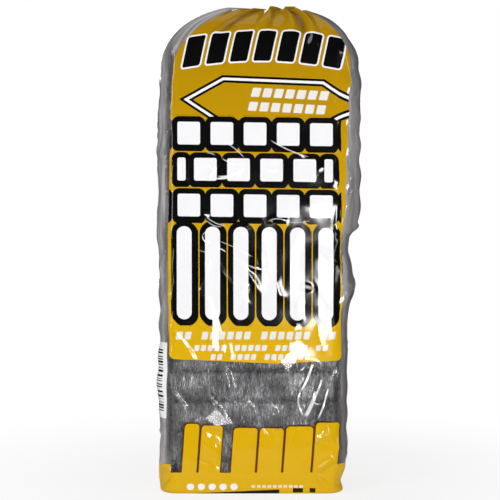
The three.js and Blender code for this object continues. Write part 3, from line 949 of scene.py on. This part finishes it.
    # a row of tall round-ended white bars, outlined in black
    BAR_PITCH = 16.3
    BAR_HALF, BAR_ROUND = 4.3, 4.2
    down = minus(z, minus(128.0, times(x, PRINT_SLOPE)))
    bar_x, _ = repeat(print_x, BAR_PITCH, BAR_PITCH / 2)
    near = block(bar_x, down, BAR_HALF, 26.8, BAR_ROUND)
    shade = block(minus(bar_x, 0.8), plus(down, 0.8), BAR_HALF, 27.0, BAR_ROUND)
    edged = less(calc("MINIMUM", near, shade), OUTLINE)
    six = less(unsigned(print_x), 3 * BAR_PITCH - 0.1)
    inside = both(less(unsigned(down), 30.4), six)
    colour = paint(colour, both(inside, edged), BLACK)
    colour = paint(colour, both(inside, less(near, 0.0)), WHITE)

    # three lines of white dashes, with a gap after every few
    for middle_z, tall, pitch_x, centre, reach, run in (
            (92.2, 2.3, 4.9, 1.4, 9.5, 7.0),
            (85.0, 1.7, 3.9, 2.4, 10.5, 6.0),
            (79.8, 1.7, 3.9, 4.0, 7.5, 5.0)):
        slanting = minus(x, times(minus(z, middle_z), 0.18))
        local, cell = repeat(slanting, pitch_x, centre)
        dash = less(block(local, minus(z, middle_z), pitch_x * 0.36, tall, 0.5), 0.0)
        spaced = calc("GREATER_THAN", calc("MODULO", plus(cell, 70.0), run), 0.5)
        in_row = less(unsigned(cell), reach)
        colour = paint(colour, both(both(dash, spaced), in_row), CREAM)

    # yellow blocks that rise from the base band and lean a little, with a dark edge
    RIM_BROWN = (0.11, 0.03, 0.006, 1)
    lean = minus(x, times(minus(z, 20.0), 0.07))
    tooth = None
    for left, right, top in ((-41.0, -32.6, 41.0), (-31.2, -19.0, 40.2), (-12.6, 1.2, 38.6),
                             (2.6, 16.4, 38.4), (17.8, 33.4, 39.4), (34.8, 49.0, 41.6)):
        bar = block(minus(lean, (left + right) / 2), minus(z, top - 25.0),
                    (right - left) / 2, 25.0, 2.2)
        tooth = bar if tooth is None else calc("MINIMUM", tooth, bar)
    teeth = both(less(tooth, 0.0), on_front)
    rim = both(less(tooth, 0.7), on_front)
    solid_band = calc("MAXIMUM", base_band, teeth)
    colour = paint(colour, both(rim, minus(1.0, solid_band)), RIM_BROWN)

    # white ovals and fainter dashes on the band, and the black field under them
    local, _ = repeat(x, 6.3, -36.5)
    oval = block(local, minus(z, 4.2), 2.1, 1.9, 1.8)
    colour = paint(colour, both(less(oval, 0.0), span(x, -39.6, -8.2)), WHITE)
    local, _ = repeat(x, 3.1)
    dash = block(local, minus(z, 4.4), 1.1, 0.8, 0.3)
    colour = paint(colour, both(both(less(dash, 0.0), span(x, -1.6, 29.4)), 0.6), WHITE)
    black_edge = less(z, plus(0.3, times(plus(x, 34.0), 0.048)))
    colour = paint(colour, both(both(black_edge, span(x, -34.0, 15.0)), on_front), BLACK)
    for start, end in ((23.0, 29.0), (33.0, 36.5)):
        colour = paint(colour, both(both(span(z, 0.8, 3.4), span(x, start, end)), on_front), BLACK)

    # a white label down the left-hand side, with plain black bars
    label = both(span(plus(sheet_x, wavy), -84.0, -50.2), span(z, 44.0, 88.0))
    bars = nodes.new("ShaderNodeTexNoise")
    bars.noise_dimensions = "1D"
    bars.inputs["Scale"].default_value = 0.75
    bars.inputs["Detail"].default_value = 0.0
    put(bars.inputs["W"], z)
    barred = both(span(sheet_x, -80.0, -52.4), span(z, 47.0, 85.0))
    colour = paint(colour, label, WHITE)
    colour = paint(colour, both(calc("GREATER_THAN", bars.outputs["Fac"], 0.53), barred), BLACK)
    ink = calc("MAXIMUM", calc("MAXIMUM", panel, solid_band), calc("MAXIMUM", rim, label))

    # the creases, painted white along their lines: painted highlights, with some whitening of the sharply
    # bent film
    painted_glints = 0.0
    for name in GLINT_NAMES:
        _, aside, amount = spread_out(name)
        line = calc("MAXIMUM", minus(1.0, unsigned(aside)), 0.0)
        line = calc("MINIMUM", times(line, 1.9), 1.0)
        painted_glints = calc("MAXIMUM", both(line, amount), painted_glints)

    # crumpled facets and fine wrinkles, calmer over the face
    facets = nodes.new("ShaderNodeTexVoronoi")
    facets.feature = "SMOOTH_F1"
    facets.inputs["Scale"].default_value = 0.085
    facets.inputs["Smoothness"].default_value = 0.25
    put(facets.inputs["Vector"], sheet)
    wrinkles = nodes.new("ShaderNodeTexNoise")
    wrinkles.inputs["Scale"].default_value = 0.13
    wrinkles.inputs["Detail"].default_value = 3.0
    wrinkles.inputs["Distortion"].default_value = 1.2
    put(wrinkles.inputs["Vector"], sheet)
    ridge = unsigned(minus(wrinkles.outputs["Fac"], 0.5))
    height = plus(times(facets.outputs["Distance"], 0.4), times(ridge, -1.2))
    aside_way = ramp(unsigned(sheet_x), 40.0, 56.0, 0.05, 1.0)
    height = plus(both(height, aside_way), times(painted_glints, 0.5))
    bump = nodes.new("ShaderNodeBump")
    bump.inputs["Strength"].default_value = 0.45
    bump.inputs["Distance"].default_value = 0.9 * MM
    put(bump.inputs["Height"], height)
    put(film.inputs["Normal"], bump.outputs["Normal"])

    clear = minus(1.0, ink)
    facing = nodes.new("ShaderNodeLayerWeight")
    facing.inputs["Blend"].default_value = 0.35
    put(facing.inputs["Normal"], bump.outputs["Normal"])

    def cloudy(scale, detail, where):
        node = nodes.new("ShaderNodeTexNoise")
        node.inputs["Scale"].default_value = scale
        node.inputs["Detail"].default_value = detail
        put(node.inputs["Vector"], where)
        return node.outputs["Fac"]

    haze = cloudy(0.035, 2.0, sheet)
    # the film is doubled and milky at the sleeve's two edges, in soft streaks down them
    drawn_out = nodes.new("ShaderNodeVectorMath")
    drawn_out.operation = "MULTIPLY"
    drawn_out.inputs[1].default_value = (0.28, 0.022, 1.0)
    put(drawn_out.inputs[0], sheet)
    streaks = cloudy(1.0, 2.0, drawn_out.outputs["Vector"])
    from_middle = unsigned(sheet_x)
    doubled = both(ramp(from_middle, 45.0, 54.0, 0.0, 1.0), ramp(from_middle, 66.0, 102.0, 1.0, 0.12))
    milky = calc("MAXIMUM", doubled, ramp(z, 246.0, 262.0, 0.0, 1.0))
    CLEAR_GREY = (0.23, 0.222, 0.225, 1)
    CLEAR_MILK = (0.47, 0.45, 0.445, 1)
    LOOSE_SHADE = (0.085, 0.08, 0.08, 1)  # painted shade: the loose right-hand film is darkened for the shaded pads' ends behind it
    clear_colour = paint(CLEAR_GREY, ramp(streaks, 0.36, 0.66, 0.0, 1.0), CLEAR_MILK)
    loose_shade = both(ramp(sheet_x, 20.0, 50.0, 0.0, 0.60), ramp(sheet_x, 60.0, 80.0, 1.0, 0.0))
    clear_colour = paint(clear_colour, loose_shade, LOOSE_SHADE)
    inked = paint(clear_colour, ink, colour)
    # the film's colour turns white along the creases: painted highlights
    put(film.inputs["Base Color"], paint(inked, painted_glints, (1.0, 1.0, 1.0, 1)))
    put(film.inputs["Metallic"], times(clear, calc("MULTIPLY_ADD", milky, -0.35, 0.35)))
    put(film.inputs["Roughness"], plus(0.14, times(ink, 0.36)))
    film.inputs["Specular IOR Level"].default_value = 0.02
    film.inputs["Coat Weight"].default_value = 0.65
    film.inputs["Coat Roughness"].default_value = 0.10
    cover = plus(0.05, times(calc("POWER", facing.outputs["Facing"], 1.8), 0.5))
    cover = plus(cover, times(haze, 0.10))
    # the painted highlights along the creases also make the film opaque there
    cover = calc("MAXIMUM", calc("MINIMUM", calc("MULTIPLY_ADD", milky, 0.80, cover), 1.0), painted_glints)
    solid = calc("MAXIMUM", ink, cover)
    gap = nodes.new("ShaderNodeBsdfTransparent")
    shown = nodes.new("ShaderNodeMixShader")
    put(shown.inputs["Fac"], solid)
    links.new(gap.outputs["BSDF"], shown.inputs[1])
    links.new(film.outputs["BSDF"], shown.inputs[2])
    links.new(shown.outputs["Shader"], nodes["Material Output"].inputs["Surface"])
    return made


sleeve.data.materials.append(film_finish())
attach(sleeve, "root")
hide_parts("film_sleeve")
